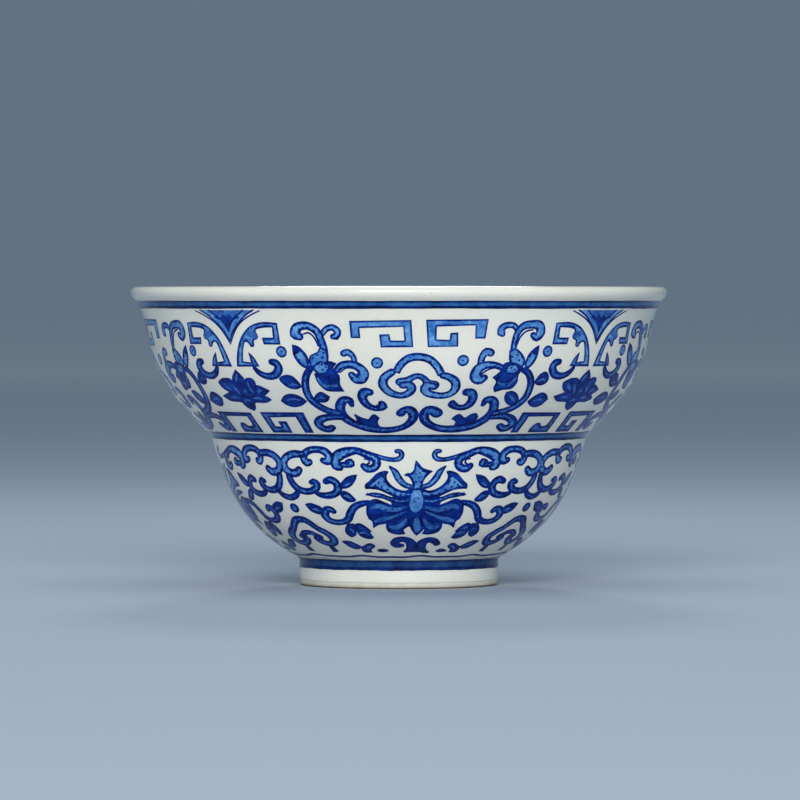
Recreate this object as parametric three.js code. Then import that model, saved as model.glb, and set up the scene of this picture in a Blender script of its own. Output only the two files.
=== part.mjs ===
// A two-tier porcelain tea cup on a turned foot ring, painted in cobalt blue under a clear glaze.
// Millimetres, +Z up. The origin is the middle of the foot, on the surface the cup stands on.
//
// Every piece is a solid of revolution, and they are nested: the fired clay inside, the glaze as a
// thin glass skin over it, and the bands of cobalt painting as films on the skin's outer face. The
// skin is drawn once, as the surface that shows, and each layer lies at its own depth from it.

import * as THREE from "three";

// Driving dimensions.
const SEGMENTS = 40; // facets round the axis
const HEIGHT = 50;
const MOUTH_R = 45; // widest point of the lip
const WALL = 2; // glazed wall, measured square to its outer face
const FLOOR_Z = 6.4; // bottom of the well, inside
const BASE_Z = 3.75; // underside of the cup, inside the foot ring
const FOOT_R = 16.7; // outer wall of the foot ring
const BORE_R = 13.5; // inner wall of the foot ring
const PAD_OUTER_R = 15.7; // the flat ring that the cup stands on
const PAD_INNER_R = 14.5;
const BARE_Z = 1; // the glaze stops this high above the pad
const FILLET = 0.5; // corner where the lower tier meets the foot

// Depths under the skin. A hair of space keeps neighbouring layers from sharing a face.
const LAYER_GAP = 0.02;
const GLAZE_DEPTH = 0.3;
const CLAY_DEPTH = GLAZE_DEPTH + LAYER_GAP;
const COBALT_BACK = -LAYER_GAP;
const COBALT_FACE = COBALT_BACK - 0.06;

// Each band of painting: its heights on the outer face, and its colour. A frieze is brushwork with
// much white between the strokes, so its film has the colour of both taken together.
const LINE_BLUE = 0x2f5596;
const FRIEZE_BLUE = 0x93a9cf;
const PAINTED = {
  rim_line_cobalt: [46.4, 47.6, LINE_BLUE],
  upper_frieze_cobalt: [26.6, 45.8, FRIEZE_BLUE],
  waist_line_cobalt: [24.6, 25.8, LINE_BLUE],
  lower_frieze_cobalt: [5.4, 24, FRIEZE_BLUE],
  foot_line_cobalt: [3, 4.6, LINE_BLUE],
};

// Turning points of the outer wall, as [radius, height].
const FOOT_TOP = [FOOT_R + FILLET, 4.85];
const WAIST = [31.25, 24.3];
const SHOULDER = [31.95, 25.55];
const BELLY = [41.25, 38.4];
const NECK = [43.7, 47.15];
const LIP_SIDE = [MOUTH_R, HEIGHT - 1];
const LIP_TOP = [MOUTH_R - 1.1, HEIGHT];

const v = (x, y) => new THREE.Vector2(x, y);

// Curves cut into a number of straight steps, through control points given as [radius, height].
const bend = (steps, a, b, c) => {
  return new THREE.QuadraticBezierCurve(v(...a), v(...b), v(...c)).getPoints(steps);
};
const curve = (steps, a, b, c, d) => {
  return new THREE.CubicBezierCurve(v(...a), v(...b), v(...c), v(...d)).getPoints(steps);
};

// One line from several that each start where the last one ends.
const join = (...lines) => {
  const all = lines.flat();
  return all.filter((p, i) => i === 0 || p.distanceTo(all[i - 1]) > 1e-6);
};

// The outer face, upwards from where the glaze stops on the foot to the neck under the lip.
function outerWall() {
  const corner = FOOT_TOP[1] - FILLET;
  return join(
    [v(FOOT_R, BARE_Z)],
    bend(2, [FOOT_R, corner], [FOOT_R, corner + FILLET / 2], FOOT_TOP),
    curve(6, FOOT_TOP, [26.1, 9.8], [29.1, 16.2], WAIST),
    bend(2, WAIST, [31.45, 25.05], SHOULDER),
    curve(4, SHOULDER, [36.05, 29.6], [39.85, 33.65], BELLY),
    curve(4, BELLY, [42.15, 41.25], [42.5, 44.7], NECK),
  );
}

// The everted lip, from the neck over its rounded top to the inner wall.
function lip(innerNeck) {
  return join(
    curve(3, NECK, [43.85, 47.75], [44.9, 48.1], LIP_SIDE),
    curve(3, LIP_SIDE, [MOUTH_R, HEIGHT - 0.4], [MOUTH_R - 0.5, HEIGHT], LIP_TOP),
    curve(3, LIP_TOP, [43.1, HEIGHT], [42.6, 49.1], innerNeck.toArray()),
  ).slice(1);
}

// The floor of the well, from the foot of the inner wall to the axis.
function wellFloor(start) {
  const { x, y } = start;
  return curve(3, [x, y], [x - 4, FLOOR_Z + 0.3], [8, FLOOR_Z], [0, FLOOR_Z]).slice(1);
}

// Moves each point of a line to its left, square to the line. A point on the axis stays on it.
function offset(line, distance) {
  return line.map((p, i) => {
    const before = line[Math.max(i - 1, 0)];
    const after = line[Math.min(i + 1, line.length - 1)];
    const along = after.clone().sub(before).normalize();
    if (p.x === 0) along.set(Math.sign(along.x), 0);
    return v(p.x - along.y * distance, p.y + along.x * distance);
  });
}

// The part of a rising line between two heights.
function between(line, low, high) {
  const at = (height) => {
    const i = line.findIndex((p) => p.y > height) - 1;
    const share = (height - line[i].y) / (line[i + 1].y - line[i].y);
    return line[i].clone().lerp(line[i + 1], share);
  };
  return [at(low), ...line.filter((p) => p.y > low && p.y < high), at(high)];
}

// The whole skin in one line: up the outside, over the lip, down the inside and across the well.
const WELL_R = 17.5; // the inner wall turns into the well's floor here
const outer = outerWall();
const inner = offset(outer, WALL)
  .filter((p) => p.x > WELL_R && p.y > FLOOR_Z)
  .reverse();
const skin = [...outer, ...lip(inner[0]), ...inner.slice(1), ...wellFloor(inner.at(-1))];

// The rising outer face at a depth, as far as the widest point of the lip.
const faceAt = (depth) => offset(skin, depth).slice(0, outer.length + 3);

// The skin under the cup, from the axis across the base and down the bore of the foot ring.
function underside() {
  return join(
    [v(0, BASE_Z)],
    bend(2, [BORE_R - FILLET, BASE_Z], [BORE_R, BASE_Z], [BORE_R, BASE_Z - FILLET]),
    [v(BORE_R, BARE_Z)],
  );
}

// Revolves an outline about the axis, closing it first unless both its ends lie there.
function revolve(outline) {
  const onAxis = outline[0].x === 0 && outline.at(-1).x === 0;
  const closed = onAxis ? outline : [...outline, outline[0].clone()];
  return new THREE.LatheGeometry(closed, SEGMENTS).rotateX(Math.PI / 2);
}

// The luting plane, where the foot ring is joined to the bowl with slip.
const LUTING_Z = BASE_Z + GLAZE_DEPTH;

// Fired clay of both tiers, the floor and the lip, from the luting plane up.
function bowlBody() {
  const bottom = LUTING_Z + LAYER_GAP;
  const face = offset(skin, CLAY_DEPTH).filter((p) => p.y > bottom);
  return revolve([v(0, bottom), v(FOOT_R - CLAY_DEPTH, bottom), ...face]);
}

// Fired clay of the foot. Its pad and the edge above it are bare and stand out as far as the glaze.
function footRing() {
  const ledge = BARE_Z - LAYER_GAP;
  const outside = [v(FOOT_R - CLAY_DEPTH, ledge), v(FOOT_R - CLAY_DEPTH, LUTING_Z)];
  const inside = [v(BORE_R + CLAY_DEPTH, LUTING_Z), v(BORE_R + CLAY_DEPTH, ledge)];
  return revolve([
    ...bend(3, [PAD_OUTER_R, 0], [FOOT_R, 0], [FOOT_R, ledge]),
    ...outside,
    ...inside,
    ...bend(3, [BORE_R, ledge], [BORE_R, 0], [PAD_INNER_R, 0]),
  ]);
}

// The glass coat over the outside, the lip and the inside.
function glazeCoat() {
  return revolve([...skin, ...offset(skin, GLAZE_DEPTH).reverse()]);
}

// The glass coat under the base and down the bore of the foot ring.
function baseGlaze() {
  const shown = underside();
  return revolve([...shown, ...offset(shown, GLAZE_DEPTH).reverse()]);
}

// One band of painting, as a film on the glaze.
function cobaltBand(low, high) {
  const face = between(faceAt(COBALT_FACE), low, high);
  const back = between(faceAt(COBALT_BACK), low, high);
  return revolve([...face, ...back.reverse()]);
}

const finish = (color, roughness) => {
  return new THREE.MeshStandardMaterial({ color, roughness, metalness: 0 });
};

const cup = new THREE.Group();
function add(name, geometry, material) {
  const mesh = new THREE.Mesh(geometry, material);
  mesh.name = name;
  cup.add(mesh);
}

add("bowl_body", bowlBody(), finish(0xe6ddcb, 0.7));
add("foot_ring", footRing(), finish(0xdccdb4, 0.75));
add("glaze_coat", glazeCoat(), finish(0xf1eee4, 0.08));
add("base_glaze", baseGlaze(), finish(0xeeebdf, 0.12));
for (const [name, [low, high, color]] of Object.entries(PAINTED)) {
  add(name, cobaltBand(low, high), finish(color, 0.15));
}

export default cup;
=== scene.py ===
# A two-tier porcelain tea cup painted in cobalt blue, dressed over its CAD frame.
#
# The cup is a solid of revolution. Its painting is drawn flat, in a chart of the outer face: the
# angle round the cup in degrees against the depth in millimetres, measured down the face from the
# widest point of the lip. Every painted shape is cut into triangles in that chart and laid on the
# glaze. The two friezes each repeat four times round the cup.

import math
import random

import bpy
import numpy as np
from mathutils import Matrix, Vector
from mathutils.geometry import delaunay_2d_cdt


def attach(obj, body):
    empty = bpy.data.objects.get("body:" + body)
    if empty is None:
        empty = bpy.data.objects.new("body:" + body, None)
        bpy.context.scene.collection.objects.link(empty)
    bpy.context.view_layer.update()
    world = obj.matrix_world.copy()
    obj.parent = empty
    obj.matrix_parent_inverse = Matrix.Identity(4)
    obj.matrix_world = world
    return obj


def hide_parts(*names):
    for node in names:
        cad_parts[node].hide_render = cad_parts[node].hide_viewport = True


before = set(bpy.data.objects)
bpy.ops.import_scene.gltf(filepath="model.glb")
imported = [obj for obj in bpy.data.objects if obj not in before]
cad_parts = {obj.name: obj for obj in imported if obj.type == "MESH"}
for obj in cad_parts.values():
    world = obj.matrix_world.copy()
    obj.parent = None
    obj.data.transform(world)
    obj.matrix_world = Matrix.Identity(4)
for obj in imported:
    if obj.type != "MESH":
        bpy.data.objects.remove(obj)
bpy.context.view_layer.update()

MM = 0.001
REPEATS = 4
UNIT = 360 / REPEATS

# ---------------------------------------------------------------------------------------------
# Profile of the cup, in millimetres, as [radius, height]. The three curves of its wall were fitted
# by least squares to radii measured in the photograph, and their numbers rounded.
# ---------------------------------------------------------------------------------------------
HEIGHT = 50
MOUTH_R = 45
WALL = 2
FLOOR_Z = 6.4
BASE_Z = 3.75
FOOT_R = 16.7
BORE_R = 13.5
PAD_OUTER_R = 15.7
PAD_INNER_R = 14.5
BARE_Z = 1
FILLET = 0.5
WELL_R = 17.5

FOOT_TOP = (FOOT_R + FILLET, 4.85)
WAIST = (31.25, 24.3)
SHOULDER = (31.95, 25.55)
BELLY = (41.25, 38.4)
NECK = (43.7, 47.15)
LIP_SIDE = (MOUTH_R, HEIGHT - 1)
LIP_TOP = (MOUTH_R - 1.1, HEIGHT)


def curve(steps, *controls):
    """Points along a Bezier curve of any degree, ends included."""
    t = np.linspace(0, 1, steps + 1)[:, None]
    layer = [np.array(c, float)[None, :] for c in controls]
    while len(layer) > 1:
        layer = [(1 - t) * a + t * b for a, b in zip(layer, layer[1:])]
    return layer[0]


def join(*lines):
    """One line from several, without the repeated points where they meet."""
    points = np.vstack(lines)
    step = np.hypot(*np.diff(points, axis=0).T)
    return points[np.r_[True, step > 1e-6]]


def tangents(line):
    """Unit direction at each point of a line."""
    along = np.gradient(line, axis=0)
    return along / np.hypot(along[:, 0], along[:, 1])[:, None]


def outer_wall():
    """The outer face from the foot up to the neck under the lip."""
    corner = FOOT_TOP[1] - FILLET
    return join(
        curve(8, (FOOT_R, BARE_Z), (FOOT_R, corner)),
        curve(8, (FOOT_R, corner), (FOOT_R, corner + FILLET / 2), FOOT_TOP),
        curve(60, FOOT_TOP, (26.1, 9.8), (29.1, 16.2), WAIST),
        curve(16, WAIST, (31.45, 25.05), SHOULDER),
        curve(40, SHOULDER, (36.05, 29.6), (39.85, 33.65), BELLY),
        curve(30, BELLY, (42.15, 41.25), (42.5, 44.7), NECK),
    )


def lip_rise():
    """From the neck out to the widest point of the lip."""
    return curve(12, NECK, (43.85, 47.75), (44.9, 48.1), LIP_SIDE)


def whole_skin():
    """The glazed skin: up the outside, over the lip, down the inside and across the well."""
    outer = outer_wall()
    along = tangents(outer)
    inner = outer + WALL * np.column_stack([-along[:, 1], along[:, 0]])
    inner = inner[(inner[:, 0] > WELL_R) & (inner[:, 1] > FLOOR_Z)][::-1]
    top = inner[0]
    end = inner[-1]
    return join(
        outer,
        lip_rise(),
        curve(10, LIP_SIDE, (MOUTH_R, HEIGHT - 0.4), (MOUTH_R - 0.5, HEIGHT), LIP_TOP),
        curve(12, LIP_TOP, (43.1, HEIGHT), (42.6, 49.1), top),
        inner,
        curve(24, end, (end[0] - 4, FLOOR_Z + 0.3), (8, FLOOR_Z), (0, FLOOR_Z)),
    )


def underside():
    """The glazed skin under the cup, from the axis to the foot of the bore."""
    return join(
        curve(16, (0, BASE_Z), (BORE_R - FILLET, BASE_Z)),
        curve(6, (BORE_R - FILLET, BASE_Z), (BORE_R, BASE_Z), (BORE_R, BASE_Z - FILLET)),
        curve(4, (BORE_R, BASE_Z - FILLET), (BORE_R, BARE_Z)),
    )


# The painted face, from the widest point of the lip downwards, with its depth in millimetres.
FACE = join(outer_wall(), lip_rise())[::-1]
FACE_NORMAL = np.column_stack([-tangents(FACE)[:, 1], tangents(FACE)[:, 0]])
FACE_DEPTH = np.r_[0, np.cumsum(np.hypot(*np.diff(FACE, axis=0).T))]


def on_face(angle, depth, proud):
    """Positions in metres, and normals, of chart points that stand this many millimetres proud."""
    r = np.interp(depth, FACE_DEPTH, FACE[:, 0])
    z = np.interp(depth, FACE_DEPTH, FACE[:, 1])
    nr = np.interp(depth, FACE_DEPTH, FACE_NORMAL[:, 0])
    nz = np.interp(depth, FACE_DEPTH, FACE_NORMAL[:, 1])
    size = np.hypot(nr, nz)
    nr, nz = nr / size, nz / size
    a = np.radians(angle)
    across, away = np.sin(a), -np.cos(a)
    r, z = r + nr * proud, z + nz * proud
    place = np.column_stack([r * across, r * away, z]) * MM
    normal = np.column_stack([nr * across, nr * away, nz])
    return place, normal


def mm_per_degree(depth):
    return np.interp(depth, FACE_DEPTH, FACE[:, 0]) * math.pi / 180


# ---------------------------------------------------------------------------------------------
# The brush: shapes laid down in order on a flat chart, the later ones over the earlier ones.
# ---------------------------------------------------------------------------------------------
STEP = 0.34  # millimetres between points along a painted edge
GRID = 0.9  # spacing of the extra points that let wide washes follow the curve of the cup
INK = 0.28  # usual thickness of an outline, in millimetres
WEIGHT = 0.92  # how heavily outlines are drawn, against the thickness they are given
FULLNESS = 1.24  # how full the brush lays an outlined band against its given width
BLEED = {"wash": "mid", "mid": "deep"}  # the tone that an outline sinks into, beside each wash
SPREAD = 0.13  # how far past the outline it reaches, in millimetres
DAB_SIDES = 8
CAP_STEPS = 5  # steps round the end of a band
CIRCLE_POINTS = 7  # points that a small painted circle is smoothed through


def catmull(points, scale):
    """A smooth open line through points in steps of about STEP, and the place of each step."""
    p = np.array(points, float)
    ends = np.vstack([2 * p[0] - p[1], p, 2 * p[-1] - p[-2]])
    out, place = [], []
    for i in range(len(p) - 1):
        a, b, c, d = ends[i : i + 4]
        n = max(1, int(round(np.hypot(*((c - b) * scale)) / STEP)))
        t = np.arange(n)[:, None] / n
        cubic = (3 * b - a - 3 * c + d) * t**3
        square = (2 * a - 5 * b + 4 * c - d) * t**2
        out.append((2 * b + (c - a) * t + square + cubic) / 2)
        place.append(i + t[:, 0])
    out.append(p[-1:])
    place.append(np.array([len(p) - 1.0]))
    return np.vstack(out), np.concatenate(place)


def closed_line(points, scale):
    """A closed line through points. A point with a third number is a corner; the rest are smooth."""
    flat = [p[:2] for p in points]
    n = len(flat)
    corners = [i for i, p in enumerate(points) if len(p) > 2]
    if not corners:
        line, place = catmull(flat[-3:] + flat + flat[:4], scale)
        return line[(place >= 3) & (place < 3 + n)]
    runs = []
    for a, b in zip(corners, corners[1:] + [corners[0] + n]):
        run = [flat[i % n] for i in range(a, b + 1)]
        runs.append(catmull(run, scale)[0][:-1])
    return np.vstack(runs)


def sharp(*points):
    """Marks every point as a corner."""
    return [(x, y, 1) for x, y in points]


def mirrored(points, axis):
    """The same outline or spine on the other side of an upright axis."""
    return [(2 * axis - p[0], *p[1:]) for p in points]


def turn_at(a, b, c):
    """Positive where the path a, b, c turns one way, negative where it turns the other."""
    return (b[0] - a[0]) * (c[1] - b[1]) - (c[0] - b[0]) * (b[1] - a[1])


def inside(points, outline):
    """Which points a closed outline winds round, counted by its crossings to their right."""
    a, b = outline, np.roll(outline, -1, axis=0)
    x, y = points[:, :1], points[:, 1:]
    down = (a[:, 1] > y) & (b[:, 1] <= y)
    up = (a[:, 1] <= y) & (b[:, 1] > y)
    rise = np.where(b[:, 1] == a[:, 1], 1e-12, b[:, 1] - a[:, 1])
    right = x < a[:, 0] + (y - a[:, 1]) * (b[:, 0] - a[:, 0]) / rise
    return np.sum(up & right, axis=1) != np.sum(down & right, axis=1)


class Chart:
    """Painted shapes as polygons, with x the angle in degrees and y the depth in millimetres."""

    def __init__(self, middle_depth, seed):
        self.scale = np.array([mm_per_degree(middle_depth), 1.0])
        self.points = []
        self.faces = []
        self.face_layers = []
        self.edges = []
        self.areas = []
        self.tones = []
        self.random = random.Random(seed)
        self.flip = None

    def place(self, points):
        return mirrored(points, self.flip) if self.flip is not None else list(points)

    def face(self, corners, layer):
        first = len(self.points)
        self.points.extend(corners)
        self.faces.append(list(range(first, first + len(corners))))
        self.face_layers.append(layer)

    def patch(self, quad, layer):
        """A small four-sided face, as two triangles if it isn't convex."""
        turns = [turn_at(quad[i - 1], quad[i], quad[(i + 1) % 4]) for i in range(4)]
        if min(turns) > 0:
            self.face(quad, layer)
        elif max(turns) < 0:
            self.face(quad[::-1], layer)
        else:
            for three in (quad[:3], [quad[0], *quad[2:]]):
                turn = turn_at(*three)
                if abs(turn) > 1e-7:
                    self.face(three if turn > 0 else three[::-1], layer)

    def area(self, line, tone):
        """A closed outline, filled by testing which triangles it winds round."""
        first, n = len(self.points), len(line)
        self.points.extend(line)
        self.edges.extend((first + i, first + (i + 1) % n) for i in range(n))
        self.areas.append((line, len(self.tones)))
        self.tones.append(tone)

    def side(self, line, closed):
        """The direction to the left of a line at each point, one millimetre long."""
        if closed:
            along = np.roll(line, -1, axis=0) - np.roll(line, 1, axis=0)
        else:
            along = np.gradient(line, axis=0)
        k = mm_per_degree(line[:, 1])
        dx, dy = along[:, 0] * k, along[:, 1]
        size = np.maximum(np.hypot(dx, dy), 1e-9)
        return np.column_stack([-dy / size / k, dx / size])

    def brush_width(self, n, ink, heaps):
        """An uneven line width round an outline, with heaps of pigment where the brush rested."""
        t = np.arange(n) / n * math.tau
        turns = [self.random.uniform(0, math.tau) for _ in range(3)]
        width = 1 + 0.16 * np.sin(2 * t + turns[0]) + 0.12 * np.sin(5 * t + turns[1])
        width += 0.08 * np.sin(9 * t + turns[2])
        at = 0
        while heaps:
            at += self.random.uniform(0.4, 1.3) / STEP / heaps
            if at >= n:
                break
            width[int(at)] += self.random.uniform(0.25, 0.7)
        return width * ink * WEIGHT

    def edge(self, line, tone, ink, heaps):
        """An outline along the inside of a closed line, softer and wider where it sinks in."""
        after = np.roll(line, -1, axis=0)
        twice_area = np.sum(line[:, 0] * after[:, 1] - after[:, 0] * line[:, 1])
        inward = self.side(line, True) * math.copysign(1, twice_area)
        n = len(line)
        width = self.brush_width(n, ink, heaps)[:, None]
        bleeds = [(BLEED[tone], SPREAD)] if tone in BLEED else []
        for shade, spread in [*bleeds, ("ink", 0)]:
            inner = line + inward * (width + spread)
            for i in range(n):
                j = (i + 1) % n
                self.patch([line[i], line[j], inner[j], inner[i]], len(self.tones))
            self.tones.append(shade)

    def dab(self, x, y, radius):
        """A round dab of ink."""
        ((x, y),) = self.place([(x, y)])
        a = np.arange(DAB_SIDES) / DAB_SIDES * math.tau
        k = mm_per_degree(y)
        corners = np.column_stack([x + radius * np.cos(a) / k, y + radius * np.sin(a)])
        self.face(list(corners), len(self.tones))
        self.tones.append("ink")

    def dabs(self, radius, *places):
        """Round dabs of one size."""
        for x, y in places:
            self.dab(x, y, radius)

    def blob(self, outline, tone="wash", ink=INK, blots=0.0):
        """A closed shape with a tone inside and an ink edge."""
        line = closed_line(self.place(outline), self.scale)
        self.area(line, tone)
        if ink:
            self.edge(line, tone, ink, blots)

    def solid(self, outline, tone="ink"):
        """A closed shape all in one tone, without an edge."""
        self.blob(outline, tone=tone, ink=0)

    def ribbon(self, spine, widths, tone="wash", ink=INK, blots=0.0, ends=True):
        """A band along a spine, with a full width in millimetres at each of its points."""
        line, place = catmull(self.place(spine), self.scale)
        if isinstance(widths, (int, float)):
            widths = [widths] * len(spine)
        half = np.interp(place, range(len(widths)), widths)[:, None] / 2
        if ink:
            half *= FULLNESS
        side = self.side(line, False)
        caps = [self.cap(line[i], side[i] * way, half[i]) for i, way in ((-1, 1), (0, -1))]
        if not ends:
            caps = [np.empty((0, 2)), np.empty((0, 2))]
        outline = np.vstack([line + side * half, caps[0], (line - side * half)[::-1], caps[1]])
        self.area(outline, tone)
        if ink:
            self.edge(outline, tone, ink, blots)

    def cap(self, centre, side, half):
        """The points of a round end, between the last points of a band's two sides."""
        k = np.array([mm_per_degree(centre[1]), 1])
        x, y = side * k * half
        a = -np.arange(1, CAP_STEPS)[:, None] * math.pi / CAP_STEPS
        turned = np.hstack([x * np.cos(a) - y * np.sin(a), x * np.sin(a) + y * np.cos(a)])
        return centre + turned / k

    def stroke(self, spine, width, tone="ink"):
        """A single brush stroke, all in one tone."""
        self.ribbon(spine, width, tone=tone, ink=0)

    def both_sides(self, axis, *draws):
        """Motifs, and then their mirror images about an upright axis."""
        for flip in (None, axis):
            self.flip = flip
            for draw in draws:
                draw(self)
        self.flip = None

    def triangles(self):
        """Cuts everything into triangles, each with the tone of the last shape laid over it."""
        points = np.array(self.points)
        low, high = points.min(axis=0), points.max(axis=0)
        columns, rows = ((high - low) * self.scale / GRID).astype(int)
        spacing = GRID / self.scale
        grid = [
            low + spacing * (i + 0.5 * (j % 2), j)
            for i in range(columns + 1)
            for j in range(rows + 1)
        ]
        coords = [Vector(p) for p in np.vstack([points, grid]) * self.scale]
        cut = delaunay_2d_cdt(coords, self.edges, self.faces, 1, 1e-5)
        places = np.array([tuple(v) for v in cut[0]]) / self.scale
        found = np.array(cut[2])
        layer = np.array([max((self.face_layers[i] for i in f), default=-1) for f in cut[5]])
        middle = places[found].mean(axis=1)
        for line, order in self.areas:
            near = np.all((middle >= line.min(axis=0)) & (middle <= line.max(axis=0)), axis=1)
            where = np.flatnonzero(near & (layer < order))
            layer[where[inside(middle[where], line)]] = order
        return places, found, np.array([*self.tones, "bare"])[layer]


# ---------------------------------------------------------------------------------------------
# Upper frieze. The middle group has hand-drawn halves that differ; the group between the cloud
# heads repeats four times as well and is drawn about its own upright axis.
# ---------------------------------------------------------------------------------------------
def top_frets(c):
    """The pair of key frets under the rim."""
    c.blob(sharp(
        (-10.8, 5.2), (2.7, 5.05), (3.2, 9.55), (-4.0, 9.6), (-4.3, 7.45), (-2.1, 7.4),
        (-1.75, 8.45), (1.2, 8.45), (0.95, 6.2), (-8.6, 6.4), (-8.45, 8.05), (-10.6, 8.05),
    ), ink=0.24)
    c.blob(sharp(
        (5.9, 5.0), (19.8, 4.9), (19.4, 8.15), (17.0, 8.15), (16.9, 5.95), (8.3, 6.15),
        (8.3, 8.25), (11.2, 8.35), (11.35, 7.2), (13.1, 7.1), (13.25, 9.45), (6.4, 9.55),
    ), ink=0.24)


def cloud_head(c):
    """The ruyi cloud in the middle of the upper tier."""
    c.ribbon(
        [(0.2, 15.6), (2.0, 15.3), (3.3, 14.7), (4.6, 14.5), (5.9, 15.0), (6.8, 15.8), (8.5, 16.2)],
        [1.2, 1.1, 0.9, 0.85, 0.9, 1.1, 1.3], blots=1.2,
    )
    c.ribbon(
        [(0.9, 16.2), (2.6, 16.2), (3.1, 17.0), (2.1, 17.9), (0.2, 18.25), (-2.2, 17.6),
         (-3.7, 16.2), (-3.3, 14.8), (-1.6, 13.8)],
        [1.1, 1.2, 1.25, 1.15, 1.05, 1.2, 1.3, 1.25, 1.1], ink=0.3, blots=1.3,
    )
    c.ribbon(
        [(8.4, 16.5), (6.5, 16.3), (6.2, 17.1), (7.4, 17.9), (10.2, 18.3), (12.5, 17.9),
         (13.6, 16.8), (13.2, 15.5), (11.7, 14.7), (10.2, 14.4)],
        [1.1, 1.2, 1.3, 1.2, 1.05, 1.1, 1.3, 1.3, 1.1, 1.0], ink=0.3, blots=1.3,
    )
    c.ribbon(
        [(-0.6, 13.9), (0.2, 12.7), (2.0, 11.5), (4.3, 11.15), (6.9, 11.6), (8.8, 12.9),
         (9.9, 14.3)],
        [1.0, 1.1, 1.1, 1.1, 1.1, 1.1, 1.1], ink=0.3, blots=1.0, ends=False,
    )


def circle(x, y, radius):
    """The outline of a small circle, its radius in millimetres."""
    k = mm_per_degree(y)
    return [
        (x + radius * math.cos(a) / k, y + radius * math.sin(a))
        for a in np.arange(CIRCLE_POINTS) * math.tau / CIRCLE_POINTS
    ]


def ring(c, x, y):
    """A small painted ring with a dot in it."""
    c.blob(circle(x, y, 1.0), ink=0.27)
    c.dab(x, y, 0.17)


def comma_hooks(c):
    """The pair of comma scrolls beside the cloud head."""
    c.ribbon(
        [(-7.1, 17.6), (-8.4, 17.5), (-9.0, 18.5), (-8.5, 19.7), (-7.3, 20.6), (-5.4, 21.0),
         (-3.8, 20.6), (-4.3, 19.9)],
        [1.2, 1.3, 1.3, 1.2, 1.05, 0.95, 1.1, 1.0], tone="mid", ink=0.4, blots=1.0,
    )
    c.ribbon(
        [(16.5, 17.6), (17.8, 17.7), (18.5, 18.7), (18.1, 20.0), (16.7, 20.75), (14.9, 20.7),
         (13.4, 20.1), (13.5, 19.8)],
        [1.2, 1.3, 1.35, 1.3, 1.05, 1.0, 1.2, 1.0], tone="mid", ink=0.4, blots=1.0,
    )


def great_scrolls(c):
    """The two wide scrolls along the waist, with bumps of leaf on their backs."""
    c.blob([
        (-11.6, 22.1, 1), (-10.2, 22.8), (-8.2, 23.3), (-7.4, 22.6), (-6.3, 22.2), (-5.0, 23.1, 1),
        (-5.6, 23.8), (-5.4, 24.8), (-4.2, 25.5), (-7.0, 25.9), (-10.4, 25.0), (-11.4, 23.6),
    ], tone="deep", ink=0.34, blots=1.5)
    c.ribbon(
        [(0.5, 22.0), (1.3, 21.4), (2.8, 21.2), (3.8, 22.2), (3.5, 23.6), (1.6, 25.0),
         (-1.4, 25.7), (-4.6, 25.85), (-8.2, 25.4), (-11.6, 24.6), (-14.0, 23.4), (-15.1, 21.9),
         (-14.9, 20.3), (-13.7, 19.2), (-12.3, 19.3), (-11.9, 20.3)],
        [1.3, 1.2, 1.3, 1.4, 1.25, 1.05, 1.1, 1.2, 1.5, 1.3, 1.4, 1.4, 1.4, 1.3, 1.2, 0.7],
        tone="mid", ink=0.48, blots=0.8,
    )
    c.blob([
        (14.1, 23.3, 1), (15.0, 22.5), (16.2, 22.2), (17.8, 23.0), (19.0, 22.3), (20.6, 22.0),
        (21.6, 22.9, 1), (20.6, 24.4), (17.8, 25.2), (15.4, 24.8), (15.5, 24.0),
    ], tone="deep", ink=0.34, blots=1.5)
    c.ribbon(
        [(9.9, 22.0), (8.9, 21.4), (7.5, 21.3), (6.6, 22.3), (7.2, 23.8), (9.5, 25.0),
         (12.8, 25.6), (16.8, 25.5), (20.8, 24.8), (23.7, 23.4), (25.0, 21.7), (24.7, 20.0),
         (23.6, 19.2), (22.2, 19.3), (21.7, 20.2)],
        [1.7, 1.5, 1.4, 1.4, 1.3, 1.2, 1.3, 1.5, 1.5, 1.4, 1.4, 1.4, 1.3, 1.2, 0.7],
        tone="mid", ink=0.48, blots=0.8,
    )


def tail_hooks(c):
    """The hooks that end the great scrolls, low down on either side."""
    c.ribbon(
        [(-15.2, 22.8), (-18.5, 22.9), (-21.2, 23.4), (-22.5, 24.4), (-21.8, 25.4), (-20.1, 25.7),
         (-18.9, 25.3)],
        [1.2, 1.2, 1.3, 1.35, 1.3, 1.3, 1.1], tone="mid", ink=0.46, blots=0.7,
    )
    c.ribbon(
        [(25.4, 22.8), (28.8, 22.8), (31.4, 23.3), (33.0, 24.4), (32.3, 25.4), (30.6, 25.6),
         (29.2, 25.0)],
        [1.2, 1.2, 1.3, 1.35, 1.3, 1.3, 1.1], tone="mid", ink=0.46, blots=0.7,
    )


def stems(c):
    """The stems that climb from the waist to the flower sprays."""
    c.ribbon(
        [(-15.6, 22.1), (-18.2, 21.6), (-20.5, 20.6), (-22.2, 19.2), (-22.8, 17.4), (-22.4, 15.4),
         (-21.5, 14.0), (-20.4, 13.1)],
        [1.2, 1.2, 1.2, 1.2, 1.15, 1.1, 1.0, 0.9], tone="mid", ink=0.42, blots=0.5,
    )
    c.ribbon(
        [(25.8, 22.1), (28.6, 21.6), (31.3, 20.5), (32.9, 18.9), (33.2, 17.0), (32.6, 15.3),
         (31.3, 14.0), (30.0, 13.5)],
        [1.2, 1.2, 1.2, 1.2, 1.15, 1.1, 1.0, 0.9], tone="mid", ink=0.42, blots=0.5,
    )


def leaf(c, outline, light, tone="deep", ink=0.32):
    """A dark leaf with a pale streak."""
    c.blob(outline, tone=tone, ink=ink, blots=1.0)
    c.stroke(light, [0.15, 0.5, 0.2], tone="mid")


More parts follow.
